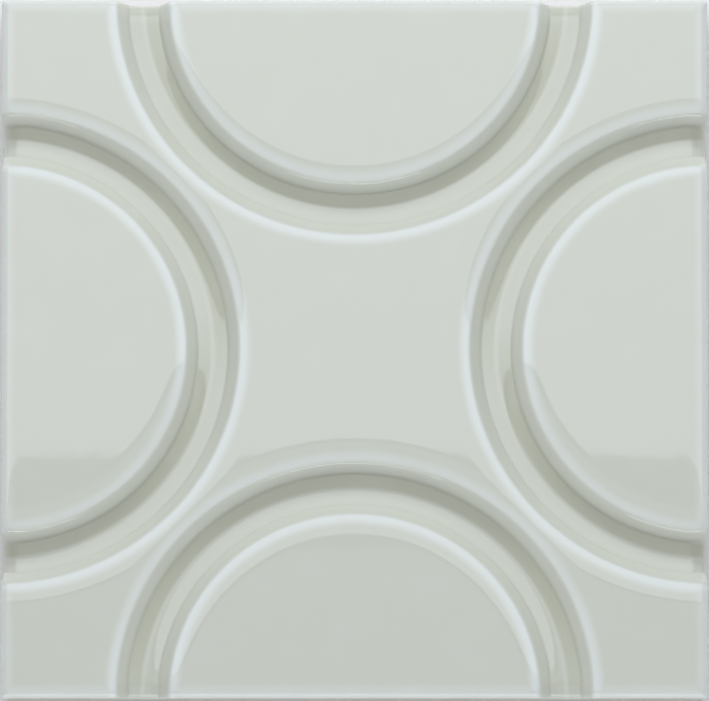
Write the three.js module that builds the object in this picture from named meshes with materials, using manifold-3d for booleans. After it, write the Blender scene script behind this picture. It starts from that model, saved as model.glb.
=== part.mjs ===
// Square relief wall tile of glazed, fired clay, lying flat with its back down.
// Four half-ring grooves, one on the middle of each side, are pressed into the face, so that
// tiles laid side by side make whole rings. Millimetres, +Z up out of the glazed face, with
// the origin at the centre of the back.

import * as THREE from 'three';
import { mergeVertices } from 'three/addons/utils/BufferGeometryUtils.js';
import Module from 'manifold-3d';

// The slab
const tileSide = 148;
const tileThickness = 11;
const cornerRadius = 0.8;
const sideDraftDegrees = 7;
const backChamfer = 0.5;

// The rounded edge round the glazed face, and the gentle fall that leads to it
const edgeRadius = 1.8;
const edgeFallWidth = 2.8;
const edgeFallDegrees = 8;

// The half-ring grooves and their section
const grooveRadius = 44;
const grooveDepth = 3.7;
const grooveFloorWidth = 6.2;
const grooveFloorDish = 0.1;
const grooveWallDegrees = 52;
const grooveToeRadius = 0.8;
const grooveLipRadius = 1.2;
const grooveShoulderWidth = 3.2;
const grooveShoulderDegrees = 14;

// The shallow channels that key the back into its adhesive
const keyChannelWidth = 6;
const keyLandWidth = 5;
const keyChannelDepth = 0.8;
const keyRimWidth = 8;
const keyFlankDegrees = 45;

// How finely curves are cut into flat faces, and how far a cutter reaches past a face
const ringSegments = 72;
const cornerSegments = 4;
const arcSteps = 3;
const cutterOverlap = 1;

const glazeColour = 0xcdd2cc;
const glazeRoughness = 0.12;

const wasm = await Module();
wasm.setup();

const radians = THREE.MathUtils.degToRad;

// A closed three.js geometry as a solid that can be cut and joined
function solidFrom(geometry) {
  geometry.deleteAttribute('normal');
  geometry.deleteAttribute('uv');
  const merged = mergeVertices(geometry);
  return new wasm.Manifold(new wasm.Mesh({
    numProp: 3,
    vertProperties: new Float32Array(merged.attributes.position.array),
    triVerts: new Uint32Array(merged.index.array),
  }));
}

// A solid as a three.js geometry again
function geometryFrom(solid) {
  const mesh = solid.getMesh();
  const geometry = new THREE.BufferGeometry();
  geometry.setAttribute('position', new THREE.BufferAttribute(mesh.vertProperties, 3));
  geometry.setIndex(new THREE.BufferAttribute(mesh.triVerts, 1));
  geometry.computeVertexNormals();
  return geometry;
}

// The slab's edge, seen in section from the back up to the flat of the face: each point holds
// the half width of the tile and its height there
function edgeSection() {
  const draft = radians(sideDraftDegrees);
  const fall = radians(edgeFallDegrees);
  const fallDrop = edgeFallWidth * Math.tan(fall) / 2;
  const centreX = tileSide / 2 - edgeRadius;
  const centreZ = tileThickness - fallDrop - edgeRadius * Math.cos(fall);
  const under = new THREE.ArcCurve(centreX, centreZ, edgeRadius, -draft, 0);
  const over = new THREE.ArcCurve(centreX, centreZ, edgeRadius, 0, Math.PI / 2 - fall);
  const arc = [...under.getPoints(1), ...over.getPoints(2 * arcSteps).slice(1)];
  const widthAt = (height) => arc[0].x - (arc[0].y - height) * Math.tan(draft);
  const fallStart = arc[arc.length - 1];
  const gentleFall = new THREE.QuadraticBezierCurve(
    fallStart,
    new THREE.Vector2(fallStart.x - edgeFallWidth / 2, tileThickness),
    new THREE.Vector2(fallStart.x - edgeFallWidth, tileThickness),
  );
  return [
    new THREE.Vector2(widthAt(0) - backChamfer, 0),
    new THREE.Vector2(widthAt(backChamfer), backChamfer),
    ...arc,
    ...gentleFall.getPoints(arcSteps).slice(1),
  ];
}

function roundedSquare(width, radius) {
  const half = width / 2;
  const shape = new THREE.Shape();
  shape.moveTo(half - radius, -half);
  shape.absarc(half - radius, radius - half, radius, -Math.PI / 2, 0);
  shape.absarc(half - radius, half - radius, radius, 0, Math.PI / 2);
  shape.absarc(radius - half, half - radius, radius, Math.PI / 2, Math.PI);
  shape.absarc(radius - half, radius - half, radius, Math.PI, Math.PI * 1.5);
  return shape;
}

// The outline is drawn up in one level for each point of the edge section, and every level is
// then set to that point's width and height
function makeSlab() {
  const section = edgeSection();
  const levels = section.length - 1;
  const geometry = new THREE.ExtrudeGeometry(roundedSquare(tileSide, cornerRadius), {
    depth: levels,
    steps: levels,
    bevelEnabled: false,
    curveSegments: cornerSegments,
  });
  const position = geometry.attributes.position;
  for (let i = 0; i < position.count; i += 1) {
    const point = section[Math.round(position.getZ(i))];
    const scale = point.x / (tileSide / 2);
    position.setXYZ(i, position.getX(i) * scale, position.getY(i) * scale, point.y);
  }
  return solidFrom(geometry);
}

// Half of the groove's section, from the middle of its floor out to the flat of the face: each
// point holds its distance from the groove's mid-line and its height
function grooveHalfSection() {
  const wall = radians(grooveWallDegrees);
  const shoulder = radians(grooveShoulderDegrees);
  const floor = tileThickness - grooveDepth;
  const wallFoot = new THREE.Vector2(grooveFloorWidth / 2, floor + grooveFloorDish);
  const toeLength = grooveToeRadius * Math.tan(wall / 2);
  const toeEnd = new THREE.Vector2(
    wallFoot.x + toeLength * Math.cos(wall),
    wallFoot.y + toeLength * Math.sin(wall),
  );
  const shoulderDrop = grooveShoulderWidth * Math.tan(shoulder) / 2;
  const lipTop = tileThickness - shoulderDrop;
  const lipBottom = lipTop - grooveLipRadius * (Math.cos(shoulder) - Math.cos(wall));
  const lipInner = toeEnd.x + (lipBottom - toeEnd.y) / Math.tan(wall);
  const lipCentreX = lipInner + grooveLipRadius * Math.sin(wall);
  const lipCentreZ = lipBottom - grooveLipRadius * Math.cos(wall);
  const lip = new THREE.ArcCurve(
    lipCentreX,
    lipCentreZ,
    grooveLipRadius,
    Math.PI / 2 + wall,
    Math.PI / 2 + shoulder,
    true,
  ).getPoints(arcSteps);
  const lipEnd = lip[lip.length - 1];
  const shoulderCurve = new THREE.QuadraticBezierCurve(
    lipEnd,
    new THREE.Vector2(lipEnd.x + grooveShoulderWidth / 2, tileThickness),
    new THREE.Vector2(lipEnd.x + grooveShoulderWidth, tileThickness),
  );
  const toe = new THREE.QuadraticBezierCurve(
    new THREE.Vector2(wallFoot.x - toeLength, wallFoot.y),
    wallFoot,
    toeEnd,
  );
  return [
    new THREE.Vector2(0, floor),
    ...toe.getPoints(2),
    ...lip,
    ...shoulderCurve.getPoints(arcSteps).slice(1),
  ];
}

// The whole ring that a half-ring groove is cut by, standing on the tile's own heights
function makeRingCutter() {
  const half = grooveHalfSection();
  const outer = half[half.length - 1].x;
  const top = tileThickness + cutterOverlap;
  const profile = [];
  for (const point of [...half].reverse()) {
    profile.push(new THREE.Vector2(grooveRadius - point.x, point.y));
  }
  for (const point of half.slice(1)) {
    profile.push(new THREE.Vector2(grooveRadius + point.x, point.y));
  }
  profile.push(new THREE.Vector2(grooveRadius + outer, top));
  profile.push(new THREE.Vector2(grooveRadius - outer, top));
  profile.push(profile[0].clone());
  const geometry = new THREE.LatheGeometry(profile, ringSegments);
  geometry.rotateX(Math.PI / 2);
  return geometry;
}

// One channel of the back, running along Y through its middle at x
function makeKeyChannel(x, length) {
  const flank = keyChannelDepth / Math.tan(radians(keyFlankDegrees));
  const mouth = keyChannelWidth / 2;
  const skirt = mouth + cutterOverlap / Math.tan(radians(keyFlankDegrees));
  const shape = new THREE.Shape([
    new THREE.Vector2(-skirt, -cutterOverlap),
    new THREE.Vector2(skirt, -cutterOverlap),
    new THREE.Vector2(mouth - flank, keyChannelDepth),
    new THREE.Vector2(flank - mouth, keyChannelDepth),
  ]);
  const geometry = new THREE.ExtrudeGeometry(shape, { depth: length, bevelEnabled: false });
  geometry.rotateX(Math.PI / 2);
  geometry.translate(x, length / 2, 0);
  return geometry;
}

// The channels lie in pairs beside a land on the tile's centre line, inside a flat rim
function cutKeyedBack(slab) {
  const backHalf = edgeSection()[0].x;
  const pitch = keyChannelWidth + keyLandWidth;
  const length = 2 * (backHalf - keyRimWidth);
  let tile = slab;
  for (let x = pitch / 2; x + keyChannelWidth / 2 <= backHalf - keyRimWidth; x += pitch) {
    tile = tile.subtract(solidFrom(makeKeyChannel(x, length)));
    tile = tile.subtract(solidFrom(makeKeyChannel(-x, length)));
  }
  return tile;
}

// The four half rings are centred on the middles of the tile's sides
function cutHalfRings(slab) {
  let tile = slab;
  for (let quarter = 0; quarter < 4; quarter += 1) {
    const turn = quarter * Math.PI / 2;
    const cutter = makeRingCutter();
    cutter.translate(Math.cos(turn) * tileSide / 2, Math.sin(turn) * tileSide / 2, 0);
    tile = tile.subtract(solidFrom(cutter));
  }
  return tile;
}

const glaze = new THREE.MeshStandardMaterial({
  color: glazeColour,
  roughness: glazeRoughness,
  metalness: 0,
});
const reliefTile = new THREE.Mesh(geometryFrom(cutHalfRings(cutKeyedBack(makeSlab()))), glaze);
reliefTile.name = 'relief_tile';

const part = new THREE.Group();
part.add(reliefTile);

export default part;
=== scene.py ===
"""Relief glazed tile: a square, pressed and fired wall tile with four half-ring grooves.

The tile lies on its back with the glazed face up. Lengths are in metres.
"""

import math

import bmesh
import bpy
from bpy.props import FloatProperty, FloatVectorProperty, IntProperty, PointerProperty
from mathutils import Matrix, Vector


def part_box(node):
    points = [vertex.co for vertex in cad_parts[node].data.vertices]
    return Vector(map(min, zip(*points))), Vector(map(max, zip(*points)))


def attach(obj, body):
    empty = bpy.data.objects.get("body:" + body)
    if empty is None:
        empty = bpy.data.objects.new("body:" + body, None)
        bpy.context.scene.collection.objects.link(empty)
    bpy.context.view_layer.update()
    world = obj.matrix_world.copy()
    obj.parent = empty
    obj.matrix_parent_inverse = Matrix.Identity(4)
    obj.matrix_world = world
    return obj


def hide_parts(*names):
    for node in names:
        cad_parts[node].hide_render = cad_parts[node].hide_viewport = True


bl_info = {
    "name": "Relief Glazed Tile",
    "version": (1, 0, 0),
    "blender": (4, 5, 0),
    "location": "3D View > Sidebar > Tile",
    "description": "Models a glazed relief wall tile and the stage it is shown on",
    "category": "Add Mesh",
}

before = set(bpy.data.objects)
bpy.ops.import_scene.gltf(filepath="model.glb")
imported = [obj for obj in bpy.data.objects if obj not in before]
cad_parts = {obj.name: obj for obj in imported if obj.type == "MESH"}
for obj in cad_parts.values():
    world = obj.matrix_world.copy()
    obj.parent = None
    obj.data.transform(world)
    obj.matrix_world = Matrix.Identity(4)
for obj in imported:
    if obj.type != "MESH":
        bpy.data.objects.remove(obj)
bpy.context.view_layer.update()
TILE_NODE = "relief_tile"
TILE_LOW, TILE_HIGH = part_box(TILE_NODE)
MM = 0.001
# Points closer than this are one point
TOUCH = 0.005 * MM
# Points closer than this to a cutting plane lie on it
ON_PLANE = 0.0001 * MM
# The ways that the tile's four sides face
SIDES = tuple(Vector(way) for way in ((0, -1, 0), (1, 0, 0), (0, 1, 0), (-1, 0, 0)))
# How finely each stretch of a section is stepped
FLOOR_STEPS = 5
TOE_STEPS = 6
WALL_STEPS = 4
LIP_STEPS = 8
SHOULDER_STEPS = 10
# The shoulder eases out to the flat as this power of the way left
SHOULDER_POWER = 3
FALL_STEPS = 7
EDGE_STEPS = 14
CORNER_STEPS = 6
# The flats reach past the tile's corners before they are trimmed
OVER_REACH = 1.1
# Edges that turn more than this stay crisp
CRISP_ANGLE = math.radians(32)
# The thin glaze and painted highlight of a lip start, are full, begin to go and end this far from
# the lip's outer end
LIP_GLAZE_AND_HIGHLIGHT = (-0.8 * MM, 0.2 * MM, 0.5 * MM, 2.6 * MM)
# The lips' lightening, part thin glaze and part painted highlight, is full over walls that face
# +Y, towards the lights, and comes in between these two facings of the wall
LIP_HIGHLIGHT_FACING = (-0.6, 0.0)
# The thin glaze and painted highlight of the tile's edge start at this share of the rim's width,
# and are full at this share of the edge's radius
EDGE_GLAZE_AND_HIGHLIGHT_START = 0.8
EDGE_GLAZE_AND_HIGHLIGHT_FULL = 0.2
# Width of the last stretch of a groove's wall, under its lip
WALL_TOP = 1.0 * MM
# The painted crease shade is full between these shares of the way from a groove's mid-line to its
# wall's foot, and ends this far past the foot
CREASE_SHADE_FULL = (0.3, 0.9)
CREASE_SHADE_PAST_FOOT = 0.9 * MM
# The painted crease shade comes in between these two facings of the wall, and is full under walls
# that face -Y, away from the lights
CREASE_SHADE_FACING = (0.3, -0.4)
# Lumps of the clouds in the thin glaze and painted highlight, and how much they come and go with
# them
CLOUD_SIZE = 9 * MM
CLOUD_DEPTH = 0.3
# The glaze thins out between these shares of the tile's thickness, along a ragged line
GLAZE_END = (0.55, 0.5)
RAG_SIZE = 5 * MM
RAG_HEIGHT = 1.5 * MM
# Lumps of the slow waves
WAVE_SIZE = 7 * MM
# Width of the streaks across the wall, and the share by which height counts in them
STREAK_SIZE = 0.5 * MM
STREAK_RISE = 0.2
# The streaks are full this far past the wall's foot
STREAK_START = 0.5 * MM
# How glossy the glaze is, and how dull the bare clay and the floor are
GLAZE_IOR = 1.52
CLAY_ROUGHNESS = 0.85
FLOOR_ROUGHNESS = 0.9
# The soft panels that light the tile: name, place, width, depth and brightness
PANELS = (
    ("overhead_softbox", (0.0, 0.568, 1.0), 1.3, 0.87, 1.7),
    ("overhead_core", (0.0, 0.36, 1.0), 0.8, 0.23, 1.5),
    ("overhead_front", (0.0, -0.12, 1.0), 1.0, 0.46, 0.45),
    ("key", (0.0, 1.06, 0.56), 0.8, 0.14, 16.5),
    ("front_card", (0.0, -1.17, 0.20), 1.1, 0.30, 5.0),
    ("front_fill", (0.0, -0.85, 0.85), 0.7, 0.80, 1.0),
    ("left_fill", (-1.15, 0.0, 0.35), 1.2, 0.25, 1.5),
    ("right_fill", (1.15, 0.0, 0.35), 1.2, 0.25, 1.5),
)
# Panels that hang level, where the others face the tile
FLAT_PANELS = ("overhead_softbox", "overhead_core", "overhead_front")
# Panels that light the tile and leave no mirror image in the glaze
DULL_PANELS = ("key", "left_fill", "right_fill")
FLOOR_WIDTH = 4.0
# The floor lies this far under the tile, so that the two don't share a plane
FLOOR_GAP = 0.02 * MM
# Width of the camera's sensor in millimetres
SENSOR = 36.0
# Share of the picture's width that the tile fills
TILE_SHARE = 707 / 709
# The camera looks at a point this far from the middle of the face
CAMERA_AIM_Y = -0.68 * MM


class TileSizes(bpy.types.PropertyGroup):
    """Sizes of the pressed tile."""

    side: FloatProperty(
        name="Side",
        description="Width of the tile across its glazed face",
        default=TILE_HIGH.x - TILE_LOW.x,
        unit="LENGTH",
        subtype="DISTANCE",
    )
    thickness: FloatProperty(
        name="Thickness",
        description="Height of the glazed face above the back",
        default=TILE_HIGH.z - TILE_LOW.z,
        unit="LENGTH",
        subtype="DISTANCE",
    )
    side_draft: FloatProperty(
        name="Side draft",
        description="Lean of the sides in towards the back",
        default=math.radians(7.0),
        unit="ROTATION",
        subtype="ANGLE",
    )
    corner_radius: FloatProperty(
        name="Corner radius",
        description="Radius of the corners in plan",
        default=0.8 * MM,
        unit="LENGTH",
        subtype="DISTANCE",
    )
    back_chamfer: FloatProperty(
        name="Back chamfer",
        description="Chamfer round the back",
        default=0.5 * MM,
        unit="LENGTH",
        subtype="DISTANCE",
    )
    edge_radius: FloatProperty(
        name="Edge radius",
        description="Radius of the rounded edge round the glazed face",
        default=1.8 * MM,
        unit="LENGTH",
        subtype="DISTANCE",
    )
    edge_fall_width: FloatProperty(
        name="Edge fall width",
        description="Width of the gentle fall between the flat of the face and its rounded edge",
        default=2.8 * MM,
        unit="LENGTH",
        subtype="DISTANCE",
    )
    edge_fall_angle: FloatProperty(
        name="Edge fall angle",
        description="Slope that the gentle fall reaches at the rounded edge",
        default=math.radians(8.0),
        unit="ROTATION",
        subtype="ANGLE",
    )
    ring_radius: FloatProperty(
        name="Ring radius",
        description="Radius of the mid-line of each half-ring groove",
        default=44.35 * MM,
        unit="LENGTH",
        subtype="DISTANCE",
    )
    groove_depth: FloatProperty(
        name="Groove depth",
        description="Depth of the grooves below the flat of the face",
        default=3.7 * MM,
        unit="LENGTH",
        subtype="DISTANCE",
    )
    floor_width: FloatProperty(
        name="Groove floor width",
        description="Width of the groove's floor between the feet of its walls",
        default=6.2 * MM,
        unit="LENGTH",
        subtype="DISTANCE",
    )
    floor_dish: FloatProperty(
        name="Groove floor dish",
        description="Sag of the groove's floor between the feet of its walls",
        default=0.25 * MM,
        unit="LENGTH",
        subtype="DISTANCE",
    )
    wall_angle: FloatProperty(
        name="Groove wall angle",
        description="Slope of the groove's walls",
        default=math.radians(52.0),
        unit="ROTATION",
        subtype="ANGLE",
    )
    toe_radius: FloatProperty(
        name="Groove toe radius",
        description="Radius where the groove's floor turns up into its wall",
        default=0.8 * MM,
        unit="LENGTH",
        subtype="DISTANCE",
    )
    lip_radius: FloatProperty(
        name="Groove lip radius",
        description="Radius where the groove's wall turns over towards the face",
        default=1.5 * MM,
        unit="LENGTH",
        subtype="DISTANCE",
    )
    shoulder_width: FloatProperty(
        name="Groove shoulder width",
        description="Width of the soft shoulder between the groove's lip and the flat of the face",
        default=4.8 * MM,
        unit="LENGTH",
        subtype="DISTANCE",
    )
    shoulder_angle: FloatProperty(
        name="Groove shoulder angle",
        description="Slope that the soft shoulder reaches at the lip",
        default=math.radians(14.0),
        unit="ROTATION",
        subtype="ANGLE",
    )
    end_deepening: FloatProperty(
        name="Groove end deepening",
        description="Share by which the grooves deepen where they run out over the tile's edge",
        default=0.1,
        min=0.0,
        max=0.5,
        subtype="FACTOR",
    )
    channel_width: FloatProperty(
        name="Back channel width",
        description="Width of each keying channel of the back",
        default=6.0 * MM,
        unit="LENGTH",
        subtype="DISTANCE",
    )
    channel_land: FloatProperty(
        name="Back land width",
        description="Width of the land between two keying channels",
        default=5.0 * MM,
        unit="LENGTH",
        subtype="DISTANCE",
    )
    channel_depth: FloatProperty(
        name="Back channel depth",
        description="Depth of the keying channels of the back",
        default=0.8 * MM,
        unit="LENGTH",
        subtype="DISTANCE",
    )
    channel_rim: FloatProperty(
        name="Back rim width",
        description="Width of the flat rim round the back's channels",
        default=8.0 * MM,
        unit="LENGTH",
        subtype="DISTANCE",
    )
    ring_steps: IntProperty(
        name="Ring steps",
        description="Flats that each half ring is turned in",
        default=144,
    )


class TileFinish(bpy.types.PropertyGroup):
    """Colours and gloss of the fired glaze and of the bare clay, with the painted shade along the
    grooves' creases and the painted highlight over lips and edges.
    """

    glaze: FloatVectorProperty(
        name="Glaze",
        description="Colour of the glaze on the flats of the face",
        default=(0.672, 0.68, 0.603),
        size=3,
        subtype="COLOR",
    )
    # Painted shade: the darker colour laid along the feet of the grooves' walls where shade falls,
    # strongest under walls that face -Y, away from the lights
    crease_shade: FloatVectorProperty(
        name="Pooled glaze",
        description="Colour of the thicker glaze along the feet of the groove's walls",
        default=(0.55, 0.555, 0.45),
        size=3,
        subtype="COLOR",
    )
    # Painted shade: the share of the crease shade that stays on walls that face +Y, towards the
    # lights
    lit_side_crease_shade: FloatProperty(
        name="Still glaze",
        description="Share of the pooled glaze that stayed on the side that it ran away from",
        default=0.15,
        min=0.0,
        max=1.0,
        subtype="FACTOR",
    )
    # Part thin glaze and part painted highlight: the pale colour over lips and edges also stands
    # in for the lamps' light on them
    thin_glaze_and_highlight: FloatVectorProperty(
        name="Thin glaze",
        description="Colour of the thin glaze over lips and edges",
        default=(0.79, 0.815, 0.785),
        size=3,
        subtype="COLOR",
    )
    clay: FloatVectorProperty(
        name="Bare clay",
        description="Colour of the unglazed back and lower sides",
        default=(0.62, 0.55, 0.47),
        size=3,
        subtype="COLOR",
    )
    # Painted highlight: the lips are lighter over walls that face +Y, towards the lights, and keep
    # this share over walls that face -Y
    lip_highlight_hold: FloatProperty(
        name="Lip hold",
        description="Share of the lips' lightening that is left over walls that face -Y",
        default=0.6,
        min=0.0,
        max=1.0,
        subtype="FACTOR",
    )
    # Part thin glaze and part painted highlight on the tile's outer edge
    edge_thinning_and_highlight: FloatProperty(
        name="Edge thinning",
        description="Share of the lips' lightening that the tile's outer edge has",
        default=0.75,
        min=0.0,
        max=1.0,
        subtype="FACTOR",
    )
    waves: FloatProperty(
        name="Glaze waves",
        description="Height of the slow waves in the glaze",
        default=0.003 * MM,
        unit="LENGTH",
        subtype="DISTANCE",
    )
    streaks: FloatProperty(
        name="Wall streaks",
        description="Height of the fine streaks that run along the grooves' walls",
        default=0.05 * MM,
        unit="LENGTH",
        subtype="DISTANCE",
    )
    gloss: FloatProperty(
        name="Glaze roughness",
        description="Roughness of the glaze",
        default=0.02,
        min=0.0,
        max=1.0,
        subtype="FACTOR",
    )


class StageLook(bpy.types.PropertyGroup):
    """Floor, lights and camera."""

    floor_colour: FloatVectorProperty(
        name="Floor",
        description="Colour of the floor",
        default=(0.9, 0.9, 0.9),
        size=3,
        subtype="COLOR",
    )
    light_colour: FloatVectorProperty(
        name="Light",
        description="Colour of the lights",
        default=(0.96, 1.0, 1.04),
        size=3,
        subtype="COLOR",
    )
    room_light: FloatProperty(
        name="Room light",
        description="Brightness of the room round the lights",
        default=0.12,
        min=0.0,
    )
    camera_tilt: FloatProperty(
        name="Camera tilt",
        description="Angle between the view and a line square to the face, towards -Y",
        default=math.radians(9.2),
        unit="ROTATION",
        subtype="ANGLE",
    )
    camera_lens: FloatProperty(
        name="Lens",
        description="Focal length in millimetres",
        default=1300.0,
        unit="CAMERA",
    )


def vertices_of(piece):
    """The edit mesh of a piece in edit mode, with its vertices numbered in order."""
    mesh = bmesh.from_edit_mesh(piece.data)
    mesh.verts.index_update()
    return mesh


def pick(piece, wanted):
    """Selects the vertices that the test accepts, and nothing else."""
    bpy.ops.mesh.select_all(action="DESELECT")
    mesh = vertices_of(piece)
    for vertex in mesh.verts:
        vertex.select = wanted(vertex)
    mesh.select_flush_mode()
    bmesh.update_edit_mesh(piece.data, loop_triangles=False, destructive=False)


def groove_half_section(sizes):
    """Points of the groove's section, from the middle of its floor out to the flat of the face.

    Each holds its distance from the groove's mid-line and its height above the back.
    """
    wall, shoulder = sizes.wall_angle, sizes.shoulder_angle
    floor = sizes.thickness - sizes.groove_depth
    foot = Vector((sizes.floor_width / 2, floor + sizes.floor_dish))
    toe = sizes.toe_radius * math.tan(wall / 2)
    toe_start = foot.x - toe
    points = []
    for step in range(FLOOR_STEPS):
        across = step / FLOOR_STEPS
        points.append((toe_start * across, floor + sizes.floor_dish * across * across))
    for step in range(TOE_STEPS + 1):
        slope = wall * step / TOE_STEPS
        across = toe_start + sizes.toe_radius * math.sin(slope)
        points.append((across, foot.y + sizes.toe_radius * (1 - math.cos(slope))))
    toe_end = Vector(points[-1])
    shoulder_drop = sizes.shoulder_width * math.tan(shoulder) / SHOULDER_POWER
    lip_top = sizes.thickness - shoulder_drop
    lip_low = lip_top - sizes.lip_radius * (math.cos(shoulder) - math.cos(wall))
    lip_in = toe_end.x + (lip_low - toe_end.y) / math.tan(wall)
    for step in range(1, WALL_STEPS):
        rise = step / WALL_STEPS
        across = toe_end.x + (lip_in - toe_end.x) * rise
        points.append((across, toe_end.y + (lip_low - toe_end.y) * rise))
    for step in range(LIP_STEPS):
        slope = wall + (shoulder - wall) * step / LIP_STEPS
        across = lip_in + sizes.lip_radius * (math.sin(wall) - math.sin(slope))
        points.append((across, lip_low + sizes.lip_radius * (math.cos(slope) - math.cos(wall))))
    lip_out = lip_in + sizes.lip_radius * (math.sin(wall) - math.sin(shoulder))
    for step in range(SHOULDER_STEPS + 1):
        left = 1 - step / SHOULDER_STEPS
        across = lip_out + sizes.shoulder_width * (1 - left)
        points.append((across, sizes.thickness - shoulder_drop * left**SHOULDER_POWER))
    return points


def lip_distance(sizes):
    """How far the outer end of a lip lies from its groove's mid-line."""
    return groove_half_section(sizes)[-1][0] - sizes.shoulder_width


def ring_section(sizes):
    """The section that a half ring is turned from, from its centre out past the corners."""
    half = groove_half_section(sizes)
    reach = sizes.side / 2 * OVER_REACH
    points = [(0.0, sizes.thickness)]
    points += [(sizes.ring_radius - across, height) for across, height in reversed(half)]
    points += [(sizes.ring_radius + across, height) for across, height in half[1:]]
    points.append((reach, sizes.thickness))
    return points


def rim_steps(sizes):
    """Moves that lead from the flat of the face over its edge: outwards and downwards."""
    width, fall = sizes.edge_fall_width, sizes.edge_fall_angle
    drop = width * math.tan(fall) / 2
    places = [(0.0, 0.0)]
    for step in range(1, FALL_STEPS + 1):
        across = step / FALL_STEPS
        places.append((width * across, drop * across * across))
    last = math.pi / 2 + sizes.side_draft
    for step in range(1, EDGE_STEPS + 1):
        slope = fall + (last - fall) * step / EDGE_STEPS
        across = width + sizes.edge_radius * (math.sin(slope) - math.sin(fall))
        places.append((across, drop + sizes.edge_radius * (math.cos(fall) - math.cos(slope))))
    return [
        (after[0] - before[0], after[1] - before[1])
        for before, after in zip(places, places[1:])
    ]


def rim_width(sizes):
    """How far inside the tile's widest outline the fall of its edge begins."""
    return sizes.edge_fall_width + sizes.edge_radius * (1 - math.sin(sizes.edge_fall_angle))


def spin_face_quarter(sizes):
    """One quarter of the face, round the half ring on the tile's -Y side."""
    centre = Vector((0, -sizes.side / 2, 0))
    section = ring_section(sizes)
    bpy.ops.mesh.primitive_plane_add(size=1 * MM, location=(0, 0, 0))
    tile = bpy.context.object
    bpy.ops.object.mode_set(mode="EDIT")
    bpy.ops.mesh.select_mode(type="VERT")
    bpy.ops.mesh.select_all(action="SELECT")
    bpy.ops.mesh.merge(type="CENTER")
    at = centre + Vector((section[0][0], 0, section[0][1]))
    bpy.ops.transform.translate(value=at)
    for across, height in section[1:]:
        to = centre + Vector((across, 0, height))
        bpy.ops.mesh.extrude_vertices_move(TRANSFORM_OT_translate={"value": to - at})
        at = to
    bpy.ops.mesh.select_all(action="SELECT")
    bpy.ops.mesh.spin(
        steps=sizes.ring_steps, angle=math.pi, center=centre, axis=(0, 0, -1)
    )
    bpy.ops.mesh.select_all(action="SELECT")
    bpy.ops.mesh.remove_doubles(threshold=TOUCH)
    lean = sizes.side_draft
    flat_edge = -(sizes.side / 2 - rim_width(sizes))
    cuts = (
        ((0, 0, 0), (1, 1, 0)),
        ((0, 0, 0), (-1, 1, 0)),
        ((0, flat_edge, sizes.thickness), (0, -math.cos(lean), -math.sin(lean))),
    )
    for place, normal in cuts:
        bpy.ops.mesh.select_all(action="SELECT")
        bpy.ops.mesh.bisect(
            plane_co=place, plane_no=normal, clear_outer=True, threshold=ON_PLANE
        )
    return tile


def turn_quarters(tile):
    """The face's other three quarters, turned round its centre and joined to the first."""
    bpy.ops.mesh.select_all(action="SELECT")
    for _ in range(3):
        bpy.ops.mesh.duplicate()
        bpy.ops.transform.rotate(
            value=math.pi / 2, orient_axis="Z", center_override=(0, 0, 0)
        )
    bpy.ops.mesh.select_all(action="SELECT")
    bpy.ops.mesh.remove_doubles(threshold=TOUCH)


def trim_corners(sizes):
    """Cuts the flat face's corners to the tile's corner radius."""
    half = sizes.side / 2 - rim_width(sizes)
    radius = sizes.corner_radius
    reach = radius * math.cos(math.pi / 4 / CORNER_STEPS)
    for right in (1, -1):
        for up in (1, -1):
            middle = Vector((right * (half - radius), up * (half - radius), 0))
            for step in range(CORNER_STEPS):
                angle = math.pi / 2 * (step + 0.5) / CORNER_STEPS
                normal = Vector((right * math.cos(angle), up * math.sin(angle), 0))
                bpy.ops.mesh.select_all(action="SELECT")
                bpy.ops.mesh.bisect(
                    plane_co=middle + normal * reach,
                    plane_no=normal,
                    clear_outer=True,
                    threshold=ON_PLANE,
                )


def select_open_rim():
    """Selects the open edge round the tile."""
    bpy.ops.mesh.select_mode(type="EDGE")
    bpy.ops.mesh.select_all(action="DESELECT")
    bpy.ops.mesh.select_non_manifold(
        extend=False,
        use_wire=False,
        use_boundary=True,
        use_multi_face=False,
        use_non_contiguous=False,
        use_verts=False,
    )


def selected_places(tile):
    """The numbers of the selected vertices."""
    return {vertex.index for vertex in vertices_of(tile).verts if vertex.select}


def on_side(place, way, margin):
    """Whether a point lies on one side of the tile, where the corners belong to two sides."""
    across = abs(place.x * way.y - place.y * way.x)
    return place.dot(way) > 0 and place.dot(way) > across - margin


def grow_rim(tile, sizes):
    """Carries the open edge out and down over the rounded edge of the face."""
    margin = 2 * sizes.corner_radius
    level = sizes.thickness
    gone = 0.0
    for outwards, down in rim_steps(sizes):
        bpy.ops.mesh.extrude_edges_move(
            TRANSFORM_OT_translate={"value": (0, 0, -down)}
        )
        bpy.ops.mesh.select_mode(type="VERT")
        rim = selected_places(tile)
        level -= down
        gone += outwards
        if gone < sizes.edge_fall_width + TOUCH:
            deeper = 1 + 2 * sizes.end_deepening * gone * outwards / sizes.edge_fall_width**2
            bpy.ops.transform.resize(
                value=(1, 1, deeper), center_override=(0, 0, level)
            )
        for way in SIDES:
            pick(
                tile,
                lambda vertex: vertex.index in rim and on_side(vertex.co, way, margin),
            )
            bpy.ops.transform.translate(value=way * outwards)
        pick(tile, lambda vertex: vertex.index in rim)


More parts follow.
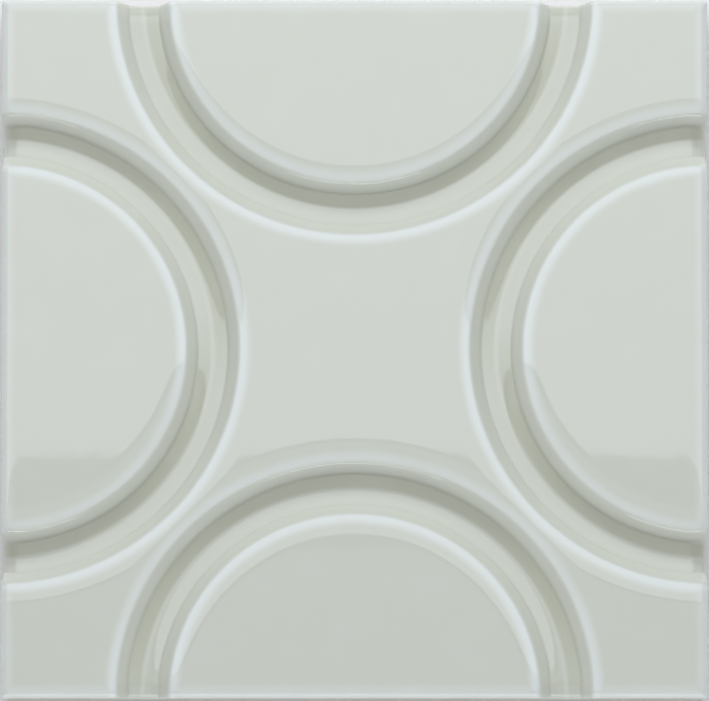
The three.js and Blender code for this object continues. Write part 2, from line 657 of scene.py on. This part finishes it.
def drop_sides(tile, sizes):
    """Takes the rim straight down its drafted sides to the chamfer, and in along it."""
    edge_top = sizes.thickness - sum(down for _, down in rim_steps(sizes))
    edge_half = sizes.side / 2 - sizes.edge_radius * (1 - math.cos(sizes.side_draft))
    margin = 2 * sizes.corner_radius
    height = sizes.back_chamfer
    half = edge_half - (edge_top - height) * math.tan(sizes.side_draft)
    bpy.ops.mesh.extrude_edges_move(TRANSFORM_OT_translate={"value": (0, 0, 0)})
    rim = selected_places(tile)
    corner = edge_half - sizes.corner_radius - TOUCH
    corners = {
        vertex.index
        for vertex in vertices_of(tile).verts
        if vertex.select and min(abs(vertex.co.x), abs(vertex.co.y)) > corner
    }
    straight = rim - corners
    for way in SIDES:
        flatten = (1 - abs(way.x), 1 - abs(way.y), 0)
        pick(
            tile,
            lambda vertex: vertex.index in straight and on_side(vertex.co, way, 0),
        )
        bpy.ops.transform.resize(
            value=flatten, center_override=way * half + Vector((0, 0, height))
        )
    for way in SIDES:
        pick(
            tile,
            lambda vertex: vertex.index in corners and vertex.co.dot(way) > 0,
        )
        bpy.ops.transform.translate(value=way * (half - edge_half))
    pick(tile, lambda vertex: vertex.index in corners)
    bpy.ops.transform.translate(value=(0, 0, height - edge_top))
    pick(tile, lambda vertex: vertex.index in rim)
    bpy.ops.mesh.extrude_edges_move(TRANSFORM_OT_translate={"value": (0, 0, -height)})
    shrink = (half - height) / half
    bpy.ops.transform.resize(value=(shrink, shrink, 1), center_override=(0, 0, 0))
    bpy.ops.mesh.edge_face_add()
    return half - height


def pick_faces(piece, wanted):
    """Selects the faces that the test accepts, and nothing else."""
    bpy.ops.mesh.select_mode(type="FACE")
    bpy.ops.mesh.select_all(action="DESELECT")
    for face in bmesh.from_edit_mesh(piece.data).faces:
        if wanted(face):
            face.select_set(True)
    bmesh.update_edit_mesh(piece.data, loop_triangles=False, destructive=False)


def press_back_channels(tile, sizes, back_half):
    """Presses the keying channels into the back, in pairs beside a land on its centre line."""
    half_length = back_half - sizes.channel_rim
    half_width = sizes.channel_width / 2
    pitch = sizes.channel_width + sizes.channel_land
    pairs = int((half_length - half_width - pitch / 2) / pitch) + 1
    middles = [side * (pair + 0.5) * pitch for pair in range(pairs) for side in (1, -1)]
    cuts = [((0, end * half_length, 0), (0, 1, 0)) for end in (1, -1)]
    cuts += [
        ((middle + edge * half_width, 0, 0), (1, 0, 0))
        for middle in middles
        for edge in (1, -1)
    ]
    for place, normal in cuts:
        pick_faces(tile, lambda face: max(v.co.z for v in face.verts) < TOUCH)
        bpy.ops.mesh.bisect(plane_co=place, plane_no=normal, threshold=ON_PLANE)

    def in_channel(face):
        if max(vertex.co.z for vertex in face.verts) > TOUCH:
            return False
        middle = face.calc_center_median()
        across = min(abs(middle.x - place) for place in middles)
        return abs(middle.y) < half_length and across < half_width

    pick_faces(tile, in_channel)
    depth = sizes.channel_depth
    bpy.ops.mesh.inset(thickness=depth, depth=-depth, use_individual=True)


class MESH_OT_relief_tile(bpy.types.Operator):
    """Model the pressed tile with its rings, rounded edges and keyed back"""

    bl_idname = "mesh.relief_tile"
    bl_label = "Relief Tile"

    def execute(self, context):
        sizes = context.scene.tile_sizes
        bpy.ops.object.select_all(action="DESELECT")
        tile = spin_face_quarter(sizes)
        turn_quarters(tile)
        trim_corners(sizes)
        select_open_rim()
        grow_rim(tile, sizes)
        back_half = drop_sides(tile, sizes)
        bpy.ops.mesh.select_all(action="SELECT")
        bpy.ops.mesh.normals_make_consistent(inside=False)
        press_back_channels(tile, sizes, back_half)
        bpy.ops.object.mode_set(mode="OBJECT")
        bpy.ops.object.shade_smooth_by_angle(angle=CRISP_ANGLE)
        bpy.ops.object.modifier_add(type="WEIGHTED_NORMAL")
        weighted = tile.modifiers[-1]
        weighted.keep_sharp = True
        bpy.ops.object.modifier_apply(modifier=weighted.name)
        tile.name = "glazed_tile"
        tile.data.materials.clear()
        tile.data.materials.append(fired_glaze(context.scene.tile_finish, sizes))
        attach(tile, "root")
        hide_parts(TILE_NODE)
        return {"FINISHED"}


class NodeDesk:
    """Lays out one material's nodes, each wired as it is added."""

    def __init__(self, name):
        self.material = bpy.data.materials.new(name)
        self.material.use_nodes = True
        self.nodes = self.material.node_tree.nodes
        self.links = self.material.node_tree.links
        self.shader = self.nodes["Principled BSDF"]

    def wire(self, value, socket):
        if isinstance(value, bpy.types.NodeSocket):
            self.links.new(value, socket)
        else:
            socket.default_value = value

    def math(self, operation, *values, clamp=False):
        node = self.nodes.new("ShaderNodeMath")
        node.operation = operation
        node.use_clamp = clamp
        for value, socket in zip(values, node.inputs):
            self.wire(value, socket)
        return node.outputs["Value"]

    def fade(self, value, start, end):
        """0 before start and 1 past end, and smooth between them."""
        node = self.nodes.new("ShaderNodeMapRange")
        node.interpolation_type = "SMOOTHSTEP"
        self.wire(value, node.inputs["Value"])
        self.wire(start, node.inputs["From Min"])
        self.wire(end, node.inputs["From Max"])
        return node.outputs["Result"]

    def fade_from(self, least, value, start, end):
        """The given least value before start and 1 past end, and smooth between them."""
        return self.math("MULTIPLY_ADD", self.fade(value, start, end), 1 - least, least)

    def band(self, value, start, full, leave, end):
        """0 outside start and end, and 1 between full and leave."""
        return self.math(
            "MULTIPLY", self.fade(value, start, full), self.fade(value, end, leave)
        )

    def noise(self, place, size, detail=2.0, distortion=0.0):
        """Cloudy values about 0.5, with lumps of about the given size in metres."""
        node = self.nodes.new("ShaderNodeTexNoise")
        self.wire(place, node.inputs["Vector"])
        node.inputs["Scale"].default_value = 1 / size
        node.inputs["Detail"].default_value = detail
        node.inputs["Distortion"].default_value = distortion
        return node.outputs["Fac"]

    def mix(self, factor, first, second):
        node = self.nodes.new("ShaderNodeMix")
        node.data_type = "RGBA"
        self.wire(factor, node.inputs["Factor"])
        for value, socket in ((first, node.inputs[6]), (second, node.inputs[7])):
            self.wire(value if isinstance(value, bpy.types.NodeSocket) else (*value, 1), socket)
        return node.outputs[2]

    def bump(self, height, distance, under=None):
        node = self.nodes.new("ShaderNodeBump")
        node.inputs["Distance"].default_value = distance
        self.wire(height, node.inputs["Height"])
        if under is not None:
            self.wire(under, node.inputs["Normal"])
        return node.outputs["Normal"]


def tile_measures(desk, sizes):
    """Where a point of the surface lies: its place, how far it is from the nearest groove's
    mid-line, from that groove's own centre and from the tile's sides, how high it is above the
    back, and how far the groove's wall there faces +Y, from -1 to 1."""
    place = desk.nodes.new("ShaderNodeTexCoord").outputs["Object"]
    parts = desk.nodes.new("ShaderNodeSeparateXYZ")
    desk.wire(place, parts.inputs["Vector"])
    half = sizes.side / 2
    y = parts.outputs["Y"]
    off_x = desk.math("ABSOLUTE", parts.outputs["X"])
    off_y = desk.math("ABSOLUTE", y)
    from_centre = []
    for along, beside in ((off_x, off_y), (off_y, off_x)):
        gap = desk.math("SUBTRACT", half, along)
        square = desk.math("MULTIPLY", gap, gap)
        squares = desk.math("MULTIPLY_ADD", beside, beside, square)
        from_centre.append(desk.math("SQRT", squares))
    radius = desk.math("MINIMUM", *from_centre)
    beyond = desk.math("SUBTRACT", radius, sizes.ring_radius)
    away = desk.math("ABSOLUTE", beyond)
    inside = desk.math("SUBTRACT", half, desk.math("MAXIMUM", off_x, off_y))
    at_side = desk.math("LESS_THAN", *from_centre)
    side_rise = desk.math("MULTIPLY", y, at_side)
    end_rise = desk.math("MULTIPLY", desk.math("SIGN", y), desk.math("SUBTRACT", off_y, half))
    end_rise = desk.math("MULTIPLY", end_rise, desk.math("SUBTRACT", 1.0, at_side))
    rise = desk.math("DIVIDE", desk.math("ADD", side_rise, end_rise), radius)
    facing = desk.math("MULTIPLY", rise, desk.math("MULTIPLY", desk.math("SIGN", beyond), -1.0))
    return place, away, radius, inside, parts.outputs["Z"], facing


def fired_glaze(finish, sizes):
    """Glossy glaze that lightens over lips and edges, where it thins and where a highlight is
    painted, with painted shade along the feet of the grooves' walls, and bare clay below.
    """
    desk = NodeDesk("fired_glaze")
    place, away, radius, inside, height, facing = tile_measures(desk, sizes)
    lip = lip_distance(sizes)
    # Lightening over the lips: thin glaze and a painted highlight, fuller over walls that face +Y,
    # towards the lights
    lip_glaze_and_highlight = desk.band(away, *(lip + further for further in LIP_GLAZE_AND_HIGHLIGHT))
    lip_glaze_and_highlight = desk.math(
        "MULTIPLY", lip_glaze_and_highlight, desk.fade_from(finish.lip_highlight_hold, facing, *LIP_HIGHLIGHT_FACING)
    )
    # Lightening over the tile's outer edge: thin glaze and a painted highlight
    edge_glaze_and_highlight = desk.fade(
        inside, EDGE_GLAZE_AND_HIGHLIGHT_START * rim_width(sizes), EDGE_GLAZE_AND_HIGHLIGHT_FULL * sizes.edge_radius
    )
    edge_glaze_and_highlight = desk.math("MULTIPLY", edge_glaze_and_highlight, desk.fade(away, lip - WALL_TOP, lip))
    edge_glaze_and_highlight = desk.math("MULTIPLY", edge_glaze_and_highlight, finish.edge_thinning_and_highlight)
    thin_glaze_and_highlight = desk.math("MAXIMUM", lip_glaze_and_highlight, edge_glaze_and_highlight)
    cloud = desk.noise(place, CLOUD_SIZE)
    cloud = desk.math("MULTIPLY_ADD", cloud, CLOUD_DEPTH, -CLOUD_DEPTH / 2)
    thin_glaze_and_highlight = desk.math("ADD", thin_glaze_and_highlight, cloud, clamp=True)
    foot = sizes.floor_width / 2
    full, leave = (share * foot for share in CREASE_SHADE_FULL)
    # Painted shade along the feet of the grooves' walls, full under walls that face -Y, away from
    # the lights, fading out near the tile's edge
    crease_shade_mask = desk.band(away, 0.0, full, leave, foot + CREASE_SHADE_PAST_FOOT)
    crease_shade_mask = desk.math("MULTIPLY", crease_shade_mask, desk.fade_from(finish.lit_side_crease_shade, facing, *CREASE_SHADE_FACING))
    crease_shade_mask = desk.math("MULTIPLY", crease_shade_mask, desk.fade(inside, 0.0, 0.5 * rim_width(sizes)))
    colour = desk.mix(crease_shade_mask, finish.glaze, finish.crease_shade)
    colour = desk.mix(thin_glaze_and_highlight, colour, finish.thin_glaze_and_highlight)
    ragged = desk.math("MULTIPLY_ADD", desk.noise(place, RAG_SIZE), RAG_HEIGHT, height)
    bare = desk.fade(ragged, *(share * sizes.thickness for share in GLAZE_END))
    colour = desk.mix(bare, colour, finish.clay)
    rough = desk.math("MULTIPLY_ADD", bare, CLAY_ROUGHNESS - finish.gloss, finish.gloss)
    waves = desk.bump(desk.noise(place, WAVE_SIZE), finish.waves)
    drawn = desk.nodes.new("ShaderNodeCombineXYZ")
    desk.wire(radius, drawn.inputs["X"])
    desk.wire(desk.math("MULTIPLY", height, STREAK_RISE), drawn.inputs["Y"])
    streaks = desk.noise(drawn.outputs["Vector"], STREAK_SIZE, detail=1.0)
    on_wall = desk.band(away, foot, foot + STREAK_START, lip - WALL_TOP, lip)
    streaks = desk.math("MULTIPLY", streaks, on_wall)
    inputs = desk.shader.inputs
    desk.wire(colour, inputs["Base Color"])
    desk.wire(rough, inputs["Roughness"])
    desk.wire(desk.bump(streaks, finish.streaks, under=waves), inputs["Normal"])
    inputs["IOR"].default_value = GLAZE_IOR
    return desk.material


class SCENE_OT_tile_stage(bpy.types.Operator):
    """Lay the floor, hang the lights and set up the camera"""

    bl_idname = "scene.tile_stage"
    bl_label = "Stage"

    def execute(self, context):
        look = context.scene.tile_stage
        sizes = context.scene.tile_sizes
        bpy.ops.object.select_all(action="DESELECT")
        bpy.ops.mesh.primitive_plane_add(size=FLOOR_WIDTH, location=(0, 0, -FLOOR_GAP))
        floor = bpy.context.object
        floor.name = "floor"
        paint = bpy.data.materials.new("floor_paint")
        paint.use_nodes = True
        board = paint.node_tree.nodes["Principled BSDF"]
        board.inputs["Base Color"].default_value = (*look.floor_colour, 1)
        board.inputs["Roughness"].default_value = FLOOR_ROUGHNESS
        floor.data.materials.append(paint)
        tilt = look.camera_tilt
        distance = look.camera_lens * MM * sizes.side / (SENSOR * MM * TILE_SHARE)
        target = Vector((0, CAMERA_AIM_Y, sizes.thickness))
        away = Vector((0, -math.sin(tilt), math.cos(tilt)))
        bpy.ops.object.camera_add(location=target + away * distance, rotation=(tilt, 0, 0))
        camera = bpy.context.object
        camera.data.lens = look.camera_lens
        camera.data.sensor_width = SENSOR
        camera.data.clip_end = 2 * distance
        context.scene.camera = camera
        context.scene.view_settings.view_transform = "Standard"
        hang_lights(look)
        world = bpy.data.worlds.new("room")
        world.use_nodes = True
        room = world.node_tree.nodes["Background"]
        room.inputs["Color"].default_value = (*look.light_colour, 1)
        room.inputs["Strength"].default_value = look.room_light
        context.scene.world = world
        return {"FINISHED"}


def hang_lights(look):
    """Soft panels round the tile, each facing its middle or, for the flat ones, hanging level,
    brightness as seen from the tile.
    """
    for name, place, width, depth, bright in PANELS:
        place = Vector(place)
        turn = place.to_track_quat("Z", "Y").to_euler()
        if name in FLAT_PANELS:
            turn = (0, 0, 0)
        bpy.ops.object.light_add(type="AREA", location=place, rotation=turn)
        lamp = bpy.context.object
        lamp.name = name
        lamp.data.shape = "RECTANGLE"
        lamp.data.size = width
        lamp.data.size_y = depth
        lamp.data.color = look.light_colour
        lamp.data.energy = math.pi * width * depth * bright
        lamp.visible_camera = False
        lamp.visible_glossy = name not in DULL_PANELS


class VIEW3D_PT_relief_tile(bpy.types.Panel):
    """Lists the pieces of the tile's scene"""

    bl_idname = "VIEW3D_PT_relief_tile"
    bl_label = "Relief Glazed Tile"
    bl_space_type = "VIEW_3D"
    bl_region_type = "UI"
    bl_category = "Tile"

    def draw(self, context):
        layout = self.layout
        layout.operator(MESH_OT_relief_tile.bl_idname)
        layout.operator(SCENE_OT_tile_stage.bl_idname)
        for group in ("tile_sizes", "tile_finish", "tile_stage"):
            settings = getattr(context.scene, group)
            for name in settings.__annotations__:
                layout.prop(settings, name)


CLASSES = (
    TileSizes,
    TileFinish,
    StageLook,
    MESH_OT_relief_tile,
    SCENE_OT_tile_stage,
    VIEW3D_PT_relief_tile,
)


def register():
    for listed in CLASSES:
        bpy.utils.register_class(listed)
    bpy.types.Scene.tile_sizes = PointerProperty(type=TileSizes)
    bpy.types.Scene.tile_finish = PointerProperty(type=TileFinish)
    bpy.types.Scene.tile_stage = PointerProperty(type=StageLook)


def unregister():
    del bpy.types.Scene.tile_stage
    del bpy.types.Scene.tile_finish
    del bpy.types.Scene.tile_sizes
    for listed in reversed(CLASSES):
        bpy.utils.unregister_class(listed)


def main():
    register()
    bpy.ops.mesh.relief_tile()
    bpy.ops.scene.tile_stage()


if __name__ == "__main__":
    main()
